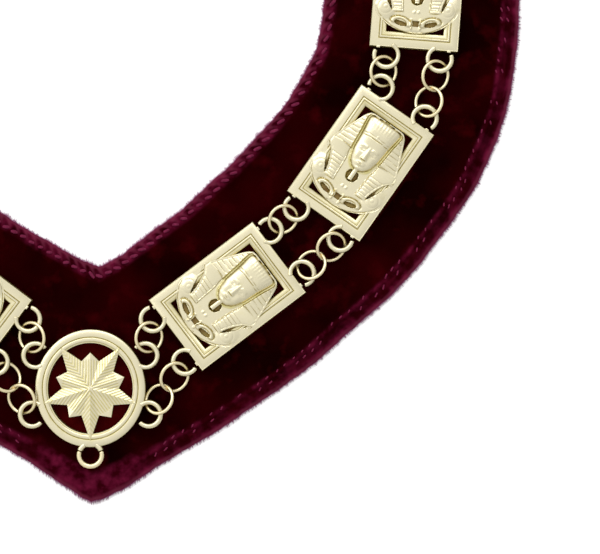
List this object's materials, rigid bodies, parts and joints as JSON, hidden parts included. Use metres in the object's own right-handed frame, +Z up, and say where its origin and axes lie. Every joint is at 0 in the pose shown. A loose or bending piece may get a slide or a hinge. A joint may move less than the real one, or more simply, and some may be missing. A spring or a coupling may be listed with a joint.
{
  "type": "chain of office on a velvet collar",
  "caption": "Gilt chain of bust plaques joined by double rows of jump rings, with a star roundel at the point, laid on a V-fronted velvet collar",
  "frame": {"origin": "middle of the outline of the collar as it lies, on the surface under it", "axes": "+Z up out of the surface; +Y from the point of the V towards the back of the neck; +X towards the right arm as seen from above"},
  "size_m": [0.4306, 0.501, 0.0137],
  "materials": {
    "velvet": "deep burgundy cotton velvet with a short pile and stitched edges",
    "gilt_metal": "pale gilt, polished on raised work, matt and browner in the recesses"
  },
  "bodies": {
    "root": {"velvet_collar": "velvet", "centre_roundel": "gilt_metal", "jewel_loop": "gilt_metal", "plaque_01": "gilt_metal", "plaque_02": "gilt_metal", "plaque_03": "gilt_metal", "plaque_04": "gilt_metal", "plaque_05": "gilt_metal", "plaque_06": "gilt_metal", "plaque_07": "gilt_metal", "plaque_08": "gilt_metal", "plaque_09": "gilt_metal", "plaque_10": "gilt_metal", "plaque_11": "gilt_metal", "inner_ring_01": "gilt_metal", "inner_ring_02": "gilt_metal", "inner_ring_03": "gilt_metal", "inner_ring_04": "gilt_metal", "inner_ring_05": "gilt_metal", "inner_ring_06": "gilt_metal", "inner_ring_07": "gilt_metal", "inner_ring_08": "gilt_metal", "inner_ring_09": "gilt_metal", "inner_ring_10": "gilt_metal", "inner_ring_11": "gilt_metal", "inner_ring_12": "gilt_metal", "outer_link_01": "gilt_metal", "outer_link_02": "gilt_metal", "outer_link_03": "gilt_metal", "outer_link_04": "gilt_metal", "outer_link_05": "gilt_metal", "outer_link_06": "gilt_metal", "outer_link_07": "gilt_metal", "outer_link_08": "gilt_metal", "outer_link_09": "gilt_metal", "outer_link_10": "gilt_metal", "outer_link_11": "gilt_metal", "outer_link_12": "gilt_metal"}
  },
  "joints": []
}
